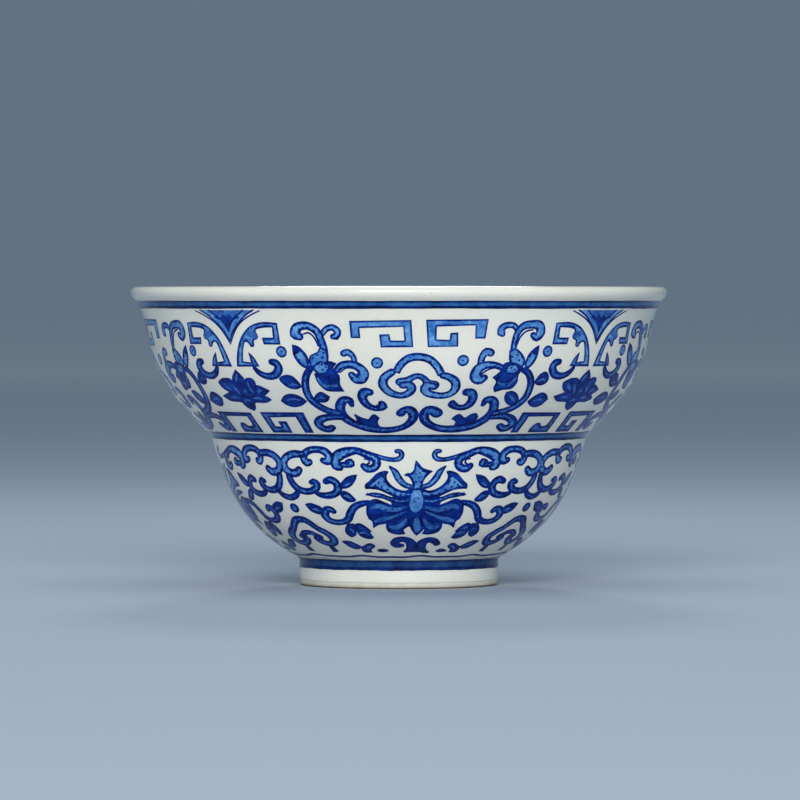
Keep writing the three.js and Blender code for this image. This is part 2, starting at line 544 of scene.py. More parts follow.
def stem_leaves(c):
    """Three leaves on each stem."""
    leaf(c, [(-29.2, 15.2), (-27.6, 14.4), (-25.6, 14.5), (-24.2, 15.6), (-23.6, 16.6, 1),
             (-25.4, 17.1), (-27.6, 16.7)], [(-27.0, 16.4), (-25.9, 16.1), (-24.8, 16.3)])
    leaf(c, [(-30.9, 19.5, 1), (-29.4, 18.4), (-27.2, 17.95), (-25.0, 18.4), (-23.4, 19.5, 1),
             (-25.2, 20.4), (-27.6, 20.8), (-29.6, 20.4)], [(-28.8, 19.3), (-27.0, 19.0), (-25.4, 19.3)])
    leaf(c, [(-21.8, 19.3, 1), (-20.6, 18.1), (-19.0, 17.55), (-17.0, 18.5, 1), (-17.9, 19.5),
             (-19.4, 19.8), (-20.8, 19.6)], [(-20.6, 19.0), (-19.4, 18.7), (-18.5, 18.9)])
    leaf(c, [(33.7, 15.7, 1), (34.7, 14.3), (36.3, 13.8), (37.7, 14.8), (37.5, 15.9),
             (36.0, 16.4), (34.5, 16.2)], [(35.0, 15.6), (36.0, 15.2), (36.9, 15.5)])
    leaf(c, [(34.0, 19.6, 1), (35.6, 18.4), (37.4, 17.75), (39.2, 18.2), (40.4, 19.2, 1),
             (39.2, 20.4), (37.4, 20.9), (35.4, 20.5)], [(35.8, 19.5), (37.3, 19.2), (38.7, 19.4)])
    leaf(c, [(26.9, 17.6, 1), (28.6, 17.4), (30.3, 18.1), (31.4, 19.3), (31.2, 20.1, 1),
             (29.2, 20.4), (27.5, 19.6), (26.8, 18.6)], [(28.2, 18.4), (29.3, 18.9), (30.2, 19.6)])


def left_spray(c):
    """The flower spray on the left stem."""
    c.blob([(-24.4, 9.1, 1), (-22.7, 9.5), (-21.0, 10.9), (-20.7, 12.4), (-21.4, 13.2), (-23.0, 12.6),
            (-24.3, 11.0)], ink=0.34, blots=1.6)
    c.solid([(-24.3, 9.15, 1), (-22.6, 9.6), (-23.0, 10.6), (-24.2, 10.6)])
    c.ribbon(
        [(-17.0, 7.3), (-15.9, 6.5), (-14.5, 6.3), (-13.5, 7.0), (-13.9, 7.8), (-14.6, 7.8)],
        [0.8, 0.85, 0.9, 1.05, 1.0, 0.8], blots=0.8,
    )
    c.ribbon(
        [(-16.9, 11.4), (-16.9, 9.8), (-17.4, 8.4), (-18.3, 6.9), (-20.4, 6.0), (-22.8, 6.3),
         (-23.5, 7.4), (-22.3, 7.8)],
        [1.2, 1.1, 1.1, 1.1, 1.1, 1.3, 1.4, 1.1], ink=0.32, blots=1.2,
    )
    c.stroke([(-21.4, 7.4), (-20.1, 7.2), (-18.9, 8.0), (-18.1, 9.4)], [0.25, 0.3, 0.3, 0.25])
    c.blob([(-16.3, 9.9, 1), (-16.0, 11.2), (-16.4, 12.2), (-19.8, 13.0), (-20.7, 12.2),
            (-20.3, 11.0), (-18.4, 10.3), (-17.9, 9.6)], ink=0.3)
    c.dabs(0.2, (-18.5, 10.9), (-19.7, 11.4), (-17.4, 11.3), (-17.0, 10.5))
    c.blob([(-19.9, 14.1, 1), (-19.5, 15.6), (-18.5, 16.8), (-17.0, 17.45), (-13.1, 17.5, 1),
            (-13.9, 16.1), (-13.8, 14.4), (-15.1, 13.3), (-14.1, 12.3, 1), (-16.1, 11.9),
            (-17.6, 13.4)], tone="deep", ink=0.36, blots=1.2)
    c.stroke([(-19.2, 14.9), (-18.5, 16.0), (-17.2, 16.5), (-14.8, 16.3)], [0.3, 0.5, 0.6, 0.4], "mid")
    c.dabs(0.22, (-16.5, 16.6), (-15.5, 16.8), (-16.9, 15.0))
    c.blob([(-20.0, 13.1), (-19.0, 12.2), (-17.6, 11.9), (-16.0, 12.6), (-16.2, 13.7),
            (-17.8, 14.3), (-19.3, 14.0)], ink=0.3, blots=0.8)
    c.dabs(0.2, (-17.7, 12.5), (-17.7, 13.4), (-16.8, 12.9))
    c.ribbon(
        [(-10.0, 12.0), (-10.3, 11.1), (-11.4, 10.4), (-12.4, 10.6)],
        [0.8, 0.8, 0.95, 0.95], blots=0.8,
    )
    c.ribbon(
        [(-14.4, 13.5), (-13.0, 12.6), (-11.0, 12.4), (-9.2, 12.9), (-8.1, 14.0), (-8.6, 15.1),
         (-10.0, 15.1), (-10.9, 14.3)],
        [0.9, 1.0, 1.05, 1.2, 1.45, 1.4, 1.3, 1.0], ink=0.34, blots=1.2,
    )
    c.stroke([(-13.6, 13.9), (-12.0, 13.1), (-10.2, 13.2), (-9.2, 13.9), (-9.8, 14.4)],
             [0.2, 0.25, 0.3, 0.3, 0.35])


def right_spray(c):
    """The flower spray on the right stem."""
    c.blob([(33.0, 9.2, 1), (31.5, 9.9), (30.3, 11.0), (29.9, 12.4), (30.6, 13.4), (32.1, 12.5),
            (33.0, 11.0)], ink=0.34, blots=1.6)
    c.solid([(32.9, 9.25, 1), (31.5, 10.0), (31.9, 10.9), (32.9, 10.6)])
    c.ribbon(
        [(26.8, 6.6), (25.9, 6.0), (24.4, 5.9), (23.1, 6.4), (22.8, 7.2), (23.4, 7.4)],
        [0.8, 0.85, 0.9, 1.05, 1.0, 0.8], blots=0.8,
    )
    c.ribbon(
        [(26.4, 10.3), (26.5, 8.8), (27.0, 7.2), (28.3, 6.1), (30.3, 5.8), (32.3, 6.0),
         (32.9, 7.1), (31.9, 7.9), (31.0, 7.6)],
        [0.9, 0.95, 1.0, 1.1, 1.15, 1.4, 1.5, 1.3, 0.9], ink=0.32, blots=1.2,
    )
    c.stroke([(30.8, 6.7), (29.3, 6.9), (27.9, 7.8), (27.1, 9.3)], [0.25, 0.3, 0.3, 0.25])
    c.blob([(25.4, 10.1, 1), (25.8, 12.0), (28.2, 13.2), (29.9, 12.6), (29.6, 11.4), (28.4, 10.4),
            (27.0, 9.8)], ink=0.3, blots=0.8)
    c.dabs(0.2, (26.4, 11.2), (27.6, 10.9), (28.3, 11.8), (28.8, 11.2))
    c.blob([(22.2, 14.8, 1), (23.8, 13.7), (24.6, 12.3), (26.8, 12.1), (29.6, 13.0), (28.9, 14.4),
            (29.1, 15.8), (28.0, 17.0), (25.8, 17.2), (23.7, 17.7, 1), (23.1, 16.8),
            (23.4, 15.6)], tone="deep", ink=0.36, blots=1.4)
    c.stroke([(24.0, 15.8), (25.5, 16.2), (27.2, 16.1), (28.4, 15.0)], [0.3, 0.6, 0.6, 0.4], "mid")
    c.dabs(0.22, (26.4, 16.2), (25.0, 15.6))
    c.blob([(25.0, 13.4), (25.9, 12.6), (27.4, 12.3), (28.8, 13.0), (28.4, 13.9), (27.0, 14.3),
            (25.6, 14.1)], ink=0.3, blots=0.8)
    c.dabs(0.2, (26.6, 13.1), (27.6, 13.4))
    c.ribbon(
        [(18.8, 12.4), (19.0, 11.2), (19.9, 10.3), (21.0, 10.5)],
        [1.0, 1.0, 1.1, 1.1], blots=0.8,
    )
    c.ribbon(
        [(24.0, 13.0), (22.3, 12.6), (20.2, 12.6), (18.4, 13.3), (18.0, 14.6), (19.1, 15.3),
         (20.2, 14.9)],
        [0.9, 0.95, 1.1, 1.5, 1.7, 1.4, 1.1], ink=0.34, blots=1.2,
    )
    c.stroke([(24.2, 13.4), (22.4, 13.1), (20.6, 13.5), (19.3, 14.3)], [0.2, 0.25, 0.3, 0.35])


def upper_middle(c):
    top_frets(c)
    comma_hooks(c)
    great_scrolls(c)
    tail_hooks(c)
    stems(c)
    stem_leaves(c)
    left_spray(c)
    right_spray(c)
    cloud_head(c)
    ring(c, -4.9, 12.2)
    ring(c, 14.6, 11.8)
    ring(c, -27.2, 10.35)
    ring(c, 35.5, 10.3)


def fan_scroll(c):
    """The archaic fan beside the hanging triangle: an arc that ends in a fret, with a hook below."""
    c.blob([
        (-40.2, 12.95, 1), (-39.3, 10.6), (-37.9, 8.4), (-36.1, 6.9), (-34.0, 5.9), (-31.0, 5.4),
        (-27.5, 5.55, 1), (-27.2, 9.15, 1), (-31.5, 9.15, 1), (-31.8, 8.0, 1), (-28.9, 8.0, 1),
        (-28.9, 6.3, 1), (-31.5, 6.4), (-33.2, 6.8), (-32.7, 7.8), (-33.2, 8.3), (-34.0, 8.5),
        (-34.1, 9.4), (-35.0, 9.6), (-35.7, 8.9), (-36.6, 8.8), (-37.4, 10.2), (-38.0, 12.0, 1),
        (-35.8, 12.2, 1), (-36.0, 10.4, 1), (-34.6, 11.4), (-33.6, 12.9, 1),
    ], ink=0.3, blots=0.4)
    c.stroke([(-35.9, 10.6), (-35.3, 12.0), (-35.2, 12.8)], [0.15, 0.25, 0.2])
    c.solid([(-36.2, 7.3), (-34.6, 6.9), (-33.2, 7.2), (-33.0, 8.0), (-34.4, 8.1)], "mid")
    c.ribbon(
        [(-35.1, 13.2), (-34.0, 14.1), (-32.0, 14.65), (-29.8, 14.3), (-28.6, 13.2), (-29.1, 12.3),
         (-30.2, 12.1)],
        [0.7, 0.95, 1.05, 1.2, 1.3, 1.2, 0.9], tone="mid", ink=0.4, blots=0.8,
    )


PENDANT_AXIS = -40.8
FAN_AXIS = -40.95


def pendant_arcs(c):
    """The fine arcs on one side of the hanging triangle, from the outside in."""
    c.stroke([(-50.2, 3.5), (-47.8, 4.2), (-45.0, 5.3), (-42.8, 6.8), (-40.8, 9.1)],
             [0.2, 0.27, 0.27, 0.27, 0.2])
    c.stroke([(-48.5, 3.4), (-46.2, 4.3), (-43.5, 5.9), (-42.0, 7.1), (-40.8, 8.6)], 0.3)
    c.stroke([(-45.8, 3.4), (-43.7, 4.5), (-42.5, 5.1), (-41.6, 5.9), (-40.8, 7.0)], 0.28)


def hanging_triangle(c):
    """The pointed pendant that hangs from the rim band, inside two fine arcs."""
    c.blob([(-48.2, 3.4, 1), (-43.5, 5.9), (-40.8, 8.6, 1), (-38.1, 5.9), (-33.4, 3.4, 1)], ink=0)
    c.solid([(-45.6, 3.4, 1), (-42.6, 5.0), (-40.8, 6.9, 1), (-39.0, 5.0), (-36.0, 3.4, 1)], "mid")
    jagged = [(-44.6 + n * 0.95, 4.7 - 0.6 * (n % 2), 1) for n in range(9)]
    c.solid([*jagged, (-39.0, 5.2), (-40.8, 6.9, 1), (-42.6, 5.2)], "deep")
    c.both_sides(PENDANT_AXIS, pendant_arcs)


def dark_lotus(c):
    """The dark lotus between the cloud heads."""
    petals = (
        [(-43.5, 16.0, 1), (-42.8, 14.8), (-41.0, 13.4, 1), (-39.4, 14.8), (-38.8, 16.2, 1)],
        [(-41.5, 17.6, 1), (-43.6, 15.2), (-46.2, 15.0, 1), (-48.4, 15.8), (-47.9, 16.9), (-46.4, 17.7),
         (-44.0, 18.0)],
        [(-40.5, 17.6, 1), (-39.0, 15.2), (-37.0, 15.0), (-36.2, 15.7), (-36.6, 17.0), (-38.2, 18.0)],
        [(-38.0, 18.6, 1), (-36.9, 16.6), (-35.4, 16.4), (-32.8, 17.4, 1), (-34.4, 18.2),
         (-36.0, 18.7)],
        [(-42.0, 18.4, 1), (-44.8, 17.6), (-47.6, 18.1), (-49.5, 18.6, 1), (-47.6, 19.6), (-44.8, 19.8),
         (-42.6, 19.8)],
        [(-39.6, 18.6, 1), (-37.0, 18.2), (-34.4, 18.6), (-33.4, 19.3, 1), (-35.4, 19.9), (-37.8, 19.9),
         (-39.8, 19.8)],
        [(-41.0, 21.75, 1), (-42.8, 21.0), (-43.7, 19.6), (-42.6, 18.6), (-40.4, 18.4), (-39.2, 19.4),
         (-39.8, 21.0)],
        [(-41.0, 19.0), (-42.4, 17.8), (-41.6, 16.4), (-40.2, 15.9), (-39.2, 17.2), (-39.7, 18.6)],
    )
    c.solid([(-44.4, 16.8), (-40.9, 15.4), (-37.4, 16.8), (-37.2, 19.0), (-40.9, 20.4),
             (-44.4, 19.0)], "deep")
    for outline in petals:
        c.blob(outline, tone="deep", ink=0.3, blots=1.4)
    for spine in (
        [(-42.0, 15.6), (-41.6, 14.9), (-41.0, 14.4)],
        [(-46.6, 16.0), (-45.8, 16.8), (-45.0, 17.2)],
        [(-44.0, 16.4), (-43.3, 17.2), (-42.8, 18.0)],
        [(-38.6, 15.8), (-38.6, 17.0), (-38.2, 17.8)],
        [(-36.6, 18.0), (-36.0, 17.4), (-35.2, 17.4)],
        [(-46.6, 18.9), (-45.0, 18.8), (-43.9, 19.0)],
        [(-38.8, 19.0), (-37.6, 18.9), (-36.4, 19.1)],
        [(-42.4, 19.8), (-41.6, 19.4), (-40.6, 19.5)],
        [(-41.0, 17.9), (-40.5, 17.4), (-40.1, 17.6)],
    ):
        c.stroke(spine, [0.25, 0.6, 0.3], "mid")


def low_frets(c):
    """The pair of key frets that stand on the waist band."""
    c.blob(sharp(
        (-39.4, 21.95), (-25.7, 21.9), (-25.1, 26.6), (-27.9, 26.6), (-28.6, 22.95), (-36.9, 23.1),
        (-36.8, 25.15), (-34.9, 25.2), (-35.0, 24.0), (-32.2, 23.95), (-32.1, 26.65), (-39.1, 26.65),
    ), tone="mid", ink=0.42, blots=0.4)
    c.blob([
        (-42.9, 22.1, 1), (-42.8, 26.65, 1), (-50.9, 26.6, 1), (-50.9, 25.6), (-49.8, 24.5),
        (-48.2, 24.5), (-47.4, 25.1), (-45.6, 25.1), (-45.1, 24.3), (-45.1, 22.95, 1),
        (-54.0, 22.95, 1), (-54.6, 26.6, 1), (-57.3, 26.6, 1), (-56.8, 21.95, 1),
    ], tone="mid", ink=0.42, blots=0.4)


def upper_between(c):
    hanging_triangle(c)
    c.both_sides(FAN_AXIS, fan_scroll)
    dark_lotus(c)
    low_frets(c)


# ---------------------------------------------------------------------------------------------
# Lower frieze.
# ---------------------------------------------------------------------------------------------
LOTUS_AXIS = 5.9


def cloud_chain(c):
    """The row of clouds under the waist band, from the middle outwards."""
    c.ribbon(
        [(-0.7, 30.05), (0.4, 30.1), (0.9, 30.7), (0.2, 31.3), (-1.8, 31.5), (-4.6, 31.25),
         (-7.4, 30.8), (-9.4, 30.5)],
        [0.6, 0.7, 0.8, 0.75, 0.65, 0.65, 0.7, 0.8], blots=0.6,
    )
    c.ribbon(
        [(-18.3, 32.4), (-16.4, 32.4), (-14.6, 32.3), (-15.0, 31.7), (-16.2, 31.9)],
        [0.8, 0.9, 0.9, 0.7, 0.6], ink=0.38, blots=1.0,
    )
    c.ribbon(
        [(-18.6, 32.9), (-19.9, 32.6), (-19.9, 31.5), (-18.3, 30.7), (-15.8, 30.2), (-12.8, 30.0),
         (-10.0, 30.6), (-7.6, 31.2), (-6.8, 32.1), (-7.8, 32.9), (-9.8, 33.1), (-11.0, 32.6)],
        [1.0, 1.3, 1.5, 1.6, 1.4, 1.0, 1.1, 1.15, 1.2, 1.15, 1.1, 0.9], ink=0.42, blots=1.1,
    )
    c.stroke([(-10.6, 31.4), (-9.4, 31.5), (-9.0, 32.0), (-9.7, 32.3)], [0.25, 0.3, 0.35, 0.4])
    c.ribbon(
        [(-28.7, 32.0), (-29.8, 32.1), (-30.6, 31.3), (-29.6, 30.4), (-27.5, 29.9), (-25.0, 29.85),
         (-22.9, 30.2), (-21.7, 31.1), (-22.2, 31.9), (-24.0, 31.7)],
        [1.0, 1.2, 1.2, 1.05, 1.0, 1.0, 1.2, 1.3, 1.1, 0.9], ink=0.42, blots=1.0,
    )
    c.ribbon(
        [(-30.8, 30.7), (-33.8, 30.65), (-36.6, 31.1), (-38.4, 32.1), (-38.2, 33.3), (-36.2, 33.95),
         (-34.2, 33.9), (-33.0, 33.4)],
        [1.0, 1.1, 1.1, 1.25, 1.3, 1.2, 1.2, 1.1], ink=0.42, blots=0.8,
    )


def leaf_chain(c):
    """The second row: an S scroll, a hook and two leaves."""
    c.ribbon(
        [(-37.5, 34.6), (-36.9, 35.7), (-35.2, 36.8), (-32.4, 37.25), (-29.8, 37.1), (-28.0, 36.6),
         (-27.5, 35.9), (-28.6, 35.45), (-29.6, 35.6)],
        [1.1, 1.15, 1.15, 1.05, 1.0, 1.1, 1.2, 1.0, 0.7], tone="mid", ink=0.4, blots=0.8,
    )
    leaf(c, [(-19.2, 35.7, 1), (-17.0, 34.6), (-15.0, 34.2), (-13.2, 34.1, 1), (-13.9, 35.1),
             (-15.4, 36.1), (-17.2, 36.6), (-19.0, 36.6)], [(-18.0, 36.1), (-16.8, 35.9), (-15.8, 35.6)])
    leaf(c, [(-20.2, 37.5, 1), (-18.6, 37.0), (-16.6, 37.4), (-14.5, 38.6, 1), (-15.0, 39.1),
             (-17.4, 39.15), (-19.2, 38.5)], [(-18.6, 38.0), (-17.4, 38.0), (-16.2, 38.5)])
    c.ribbon(
        [(-28.2, 37.6), (-26.6, 37.9), (-24.0, 37.95), (-21.4, 37.5), (-20.2, 36.6), (-20.7, 35.6),
         (-22.4, 35.1), (-24.2, 35.4)],
        [0.7, 0.9, 1.05, 1.1, 1.25, 1.15, 1.15, 0.9], tone="mid", ink=0.42, blots=0.8,
    )


def bud_stem(c):
    """The stem that winds out of the lotus to a pair of bud leaves, with leaves under it."""
    leaf(c, [(-16.9, 43.7, 1), (-15.0, 43.4), (-13.2, 43.9), (-11.6, 44.7), (-10.7, 45.4, 1),
             (-11.4, 45.5), (-10.2, 46.9, 1), (-12.0, 47.25), (-14.4, 47.0), (-16.4, 46.2),
             (-16.8, 45.0)], [(-15.6, 44.2), (-14.6, 44.6), (-13.2, 44.7)])
    c.stroke([(-16.2, 45.9), (-14.2, 45.6), (-12.0, 46.1)], [0.2, 0.5, 0.2], "mid")
    leaf(c, [(-19.6, 43.5, 1), (-21.3, 44.7), (-21.7, 45.8), (-20.6, 46.6), (-19.6, 46.85, 1),
             (-17.6, 46.3), (-16.7, 45.0), (-16.9, 43.5, 1)],
         [(-19.4, 44.6), (-18.6, 45.1), (-18.2, 45.7)])
    c.ribbon(
        [(-23.7, 41.0), (-24.8, 40.6), (-26.4, 40.8), (-27.6, 41.9), (-26.4, 42.9), (-24.0, 43.3),
         (-21.2, 43.2), (-18.8, 42.6), (-17.5, 41.4), (-15.7, 40.2), (-13.2, 39.5), (-10.4, 39.2)],
        [0.9, 1.05, 1.2, 1.3, 1.15, 1.05, 1.0, 1.1, 1.15, 1.1, 1.0, 0.8], tone="mid", ink=0.4, blots=0.7,
    )
    leaf(c, [(-34.4, 39.65, 1), (-32.0, 39.4), (-29.8, 39.7), (-28.0, 40.2), (-27.6, 41.1),
             (-29.2, 41.7), (-31.4, 41.5), (-33.2, 40.9)], [(-31.6, 40.6), (-30.2, 40.7), (-29.0, 41.0)])


def lotus_side(c):
    """The petals on one side of the large lotus, from the lowest to the highest."""
    c.blob([(4.6, 42.0, 1), (3.4, 44.2), (1.9, 44.9), (2.7, 45.9, 1), (0.0, 46.1), (-3.2, 45.7),
            (-4.7, 44.9), (-4.6, 43.4), (-1.6, 42.4), (2.2, 41.0, 1)], tone="deep", ink=0.36, blots=1.4)
    c.stroke([(-3.2, 44.2), (-1.2, 44.4), (0.8, 43.8), (2.6, 42.6)], [0.5, 1.1, 0.9, 0.4], "mid")
    c.blob([(4.4, 41.0, 1), (1.2, 42.2), (-2.2, 43.2), (-5.2, 43.6), (-7.4, 43.8), (-9.9, 44.6, 1),
            (-9.9, 43.1), (-11.2, 42.4), (-8.6, 41.9), (-5.0, 41.5), (-1.0, 40.7), (3.0, 39.6, 1)],
           tone="deep", ink=0.36, blots=1.4)
    c.stroke([(-8.6, 43.0), (-6.0, 42.6), (-2.6, 42.0), (0.6, 41.2), (2.8, 40.6)],
             [0.5, 0.9, 0.9, 0.7, 0.4], "mid")
    c.blob([(4.8, 40.6, 1), (1.0, 41.1), (-3.2, 41.9), (-7.4, 42.2), (-11.2, 42.3, 1), (-11.6, 41.2),
            (-10.9, 39.3), (-9.4, 38.7), (-7.4, 38.5), (-4.4, 39.2), (-1.6, 39.7), (2.2, 39.3),
            (5.2, 38.4, 1)], tone="deep", ink=0.34, blots=1.8)
    c.stroke([(-9.4, 40.3), (-7.0, 39.9), (-4.2, 40.4), (-1.0, 40.6), (2.2, 40.1)],
             [0.5, 1.0, 1.0, 0.8, 0.4], "mid")
    c.dabs(0.2, (-8.2, 41.4), (-5.8, 41.2), (-3.4, 41.2), (-6.8, 40.5), (-4.6, 40.6), (-2.2, 40.4))
    c.blob([(-11.4, 37.7, 1), (-8.6, 37.3), (-5.6, 37.5), (-2.6, 38.1), (1.4, 38.4), (4.8, 37.9, 1),
            (5.0, 38.9), (2.0, 39.4), (-2.0, 39.2), (-5.2, 38.5), (-8.2, 38.2)],
           tone="wash", ink=0.3, blots=1.6)
    c.blob([(-3.2, 33.6), (-4.4, 33.4), (-7.0, 33.9), (-9.0, 35.0), (-11.0, 35.9),
            (-11.0, 36.7, 1), (-9.0, 36.7), (-6.4, 36.9), (-4.0, 37.5), (-1.0, 38.2), (2.4, 38.3),
            (5.2, 37.9, 1), (4.8, 37.0), (1.0, 36.9), (-1.8, 36.2), (-3.6, 35.1), (-3.8, 34.2)],
           ink=0.36, blots=2.0)
    c.stroke([(-9.9, 36.2), (-8.6, 35.3), (-6.8, 34.5), (-4.8, 34.1)], [0.3, 0.8, 0.8, 0.4], "deep")
    c.dabs(0.2, (-5.6, 36.3), (-3.6, 36.8), (-6.4, 35.5), (-1.4, 37.5), (-4.7, 35.3),
           (-4.9, 34.5), (-7.6, 36.0), (-2.6, 36.2), (0.8, 37.7), (-5.4, 33.9))
    c.ribbon([(-2.8, 32.7), (-1.2, 33.6), (0.0, 34.8), (1.9, 35.9), (4.8, 36.4)],
             [0.3, 0.9, 1.0, 0.85, 0.7], ink=0.28, blots=0.8)


def lotus(c):
    """The large lotus in the middle of the lower tier."""
    c.solid([(-2.6, 38.4), (1.4, 37.2), (5.9, 36.2), (10.4, 37.2), (14.4, 38.4), (13.4, 40.6),
            (10.8, 42.6), (9.2, 43.9), (5.9, 44.4), (2.6, 43.9), (1.0, 42.6), (-1.6, 40.6)], "deep")
    c.blob([(7.2, 46.4, 1), (5.4, 45.4), (4.0, 44.0, 1), (3.4, 42.0), (5.9, 39.4, 1), (8.6, 42.0),
            (10.2, 44.1, 1), (9.0, 45.4)], tone="deep", ink=0.32, blots=1.4)
    c.stroke([(6.6, 42.6), (7.1, 43.8), (7.2, 45.2)], [0.8, 1.5, 0.8], "mid")
    c.both_sides(LOTUS_AXIS, lotus_side)
    c.blob([(5.8, 36.0, 1), (7.6, 37.0), (8.6, 38.4), (8.8, 39.8), (7.6, 40.9), (5.9, 41.4), (4.2, 40.9),
            (3.2, 39.8), (3.4, 38.2), (4.2, 37.0)], ink=0.16, blots=1.4)
    c.blob([(5.2, 31.55, 1), (6.2, 32.1), (7.3, 32.8), (8.4, 33.1), (10.8, 33.5, 1), (9.3, 34.2),
            (8.0, 35.2), (7.4, 36.9, 1), (4.5, 36.9, 1), (4.3, 35.6), (3.1, 34.5), (1.4, 34.1, 1),
            (3.6, 33.8), (4.6, 33.3), (4.9, 32.4)], ink=0.28, blots=1.6)
    c.stroke([(7.4, 33.4), (8.6, 33.5), (10.2, 33.6)], [0.4, 0.6, 0.2], "deep")
    c.stroke([(5.6, 32.3), (6.3, 32.6), (6.9, 33.1)], [0.2, 0.5, 0.3], "deep")
    c.dabs(0.16, (5.4, 34.0), (6.4, 34.6), (5.6, 35.4), (6.6, 33.8), (5.2, 39.0), (6.6, 38.4))


def base_scrolls(c):
    """The pair of curls under the lotus and the leaves beside them."""
    c.ribbon(
        [(1.0, 48.9), (-0.7, 49.0), (-1.9, 48.3), (-0.7, 47.5), (1.8, 47.25), (4.2, 47.7),
         (5.7, 48.8), (5.2, 50.0), (3.2, 50.7)],
        [0.9, 1.1, 1.2, 1.2, 1.15, 1.25, 1.5, 1.2, 0.6], tone="deep", ink=0.4,
    )
    c.ribbon(
        [(16.9, 48.5), (15.4, 47.8), (13.3, 47.45), (11.0, 47.8), (9.7, 48.8), (10.4, 50.0),
         (12.2, 50.7), (14.0, 51.0)],
        [1.0, 1.15, 1.2, 1.3, 1.6, 1.3, 0.9, 0.5], tone="deep", ink=0.4,
    )
    c.solid([(7.5, 48.0, 1), (9.2, 49.2), (9.7, 50.2), (10.8, 50.95, 1), (4.6, 50.95, 1), (5.8, 50.0),
            (6.2, 49.0)])
    c.solid([(-10.6, 50.3, 1), (-8.5, 49.95), (-6.0, 50.0), (-4.5, 50.5, 1), (-6.5, 50.95),
            (-9.4, 50.9)])
    c.solid([(17.3, 50.7, 1), (19.2, 50.0), (21.4, 50.0), (23.9, 50.7, 1), (21.5, 51.0),
            (19.0, 51.0)])


def foot_leaves(c):
    """Two dark leaves low on the lower tier."""
    leaf(c, [(-25.5, 48.0, 1), (-23.8, 47.7), (-21.4, 47.8), (-19.2, 48.4), (-17.0, 49.3, 1),
             (-18.2, 50.0), (-20.6, 50.1), (-23.0, 49.5)], [(-22.6, 48.5), (-20.8, 48.8), (-19.2, 49.3)],
         ink=0.36)
    leaf(c, [(-17.6, 49.4, 1), (-15.4, 48.9), (-13.6, 48.4), (-11.8, 48.4), (-10.4, 49.1, 1),
             (-11.6, 49.8), (-12.9, 50.2), (-12.8, 51.1, 1), (-16.6, 51.1), (-17.6, 50.4)],
         [(-14.8, 50.0), (-13.6, 49.4), (-12.2, 49.2)], ink=0.36)


def scalloped_line(c, start, end):
    """The dark wavy line above the foot band."""
    n = 12
    spine = [
        (start + (end - start) * i / n, 52.55 - 0.4 * (i % 4 == 2)) for i in range(n + 1)
    ]
    c.stroke(spine, 0.62)


def lower_middle(c):
    c.both_sides(LOTUS_AXIS, cloud_chain, leaf_chain, bud_stem, foot_leaves)
    lotus(c)
    base_scrolls(c)
    scalloped_line(c, -34, 56.2)


LOW_CLOUD_AXIS = -39.6


def low_cloud_side(c):
    """One side of the cloud head between two lotuses, with the dark foot under it."""
    c.ribbon([(-39.6, 45.8), (-37.8, 45.9), (-36.2, 46.4), (-34.6, 46.9)], 0.95, tone="mid", ink=0.42)
    c.ribbon(
        [(-39.6, 42.8), (-37.4, 43.0), (-35.4, 43.8), (-33.4, 44.8), (-30.8, 45.7),
         (-28.7, 47.0), (-29.4, 48.2), (-32.0, 48.7), (-34.8, 48.3), (-36.8, 47.4),
         (-36.0, 46.9)],
        [1.2, 1.2, 1.15, 1.1, 1.2, 1.35, 1.3, 1.25, 1.2, 1.2, 0.9], tone="mid", ink=0.44, blots=0.6,
    )
    c.solid([(-33.6, 49.2, 1), (-30.9, 49.3, 1), (-30.3, 51.0, 1), (-33.9, 51.2, 1)])


def lower_between(c):
    """The cloud head between two lotuses, with an arc and a circle over it."""
    c.ribbon(
        [(-43.6, 37.5), (-42.2, 38.1), (-39.4, 38.45), (-36.8, 38.0), (-35.5, 37.3)],
        [0.8, 0.95, 1.0, 0.95, 0.8], tone="mid", ink=0.42, blots=0.6,
    )
    c.blob(circle(LOW_CLOUD_AXIS, 40.5, 0.95), tone="mid", ink=0.42)
    c.both_sides(LOW_CLOUD_AXIS, low_cloud_side)


# ---------------------------------------------------------------------------------------------
# Painted pieces: the charts laid on the cup, and the bands.
# ---------------------------------------------------------------------------------------------
FILM = 0.016  # how far the painting stands off the glaze, in millimetres
FILM_STEP = 0.005  # a second sheet of painting stands this much further off
BAND_COLUMNS = 720
BAND_ROWS = 6
BAND_UNEVENNESS = 0.05  # how far a band's edge strays, in millimetres
SHEET_EDGE = 60  # degrees either side of a unit's middle that its sheets stay within
# Degrees to each copy of the group between. The second is as photographed, the last two a guess.
BETWEEN_TURNS = (0, 91.2, 180.6, 270.3)


def hand_drift(place, unit):
    """How far the painter's hand strays from the first unit, in degrees and millimetres."""
    if unit == 0:
        return 0, 0
    x, y = place[:, 0], place[:, 1]
    across = 0.5 * np.sin(x / 11 + 2.1 * unit) + 0.3 * np.sin(y / 2.7 + 1.3 * unit)
    down = 0.13 * np.sin(x / 8 + 1.7 * unit)
    return across, down


def new_object(name, places, faces, uv, normals=None):
    """A mesh object in metres with its texture layout, riding on the cup."""
    mesh = bpy.data.meshes.new(name)
    mesh.from_pydata(places.tolist(), [], faces)
    layout = mesh.uv_layers.new(name="OFBake")
    layout.data.foreach_set("uv", np.asarray(uv, dtype=np.float32).ravel())
    mesh.shade_smooth()
    if normals is not None:
        mesh.normals_split_custom_set_from_vertices(normals.tolist())
    made = bpy.data.objects.new(name, mesh)
    bpy.context.scene.collection.objects.link(made)
    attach(made, "root")
    return made


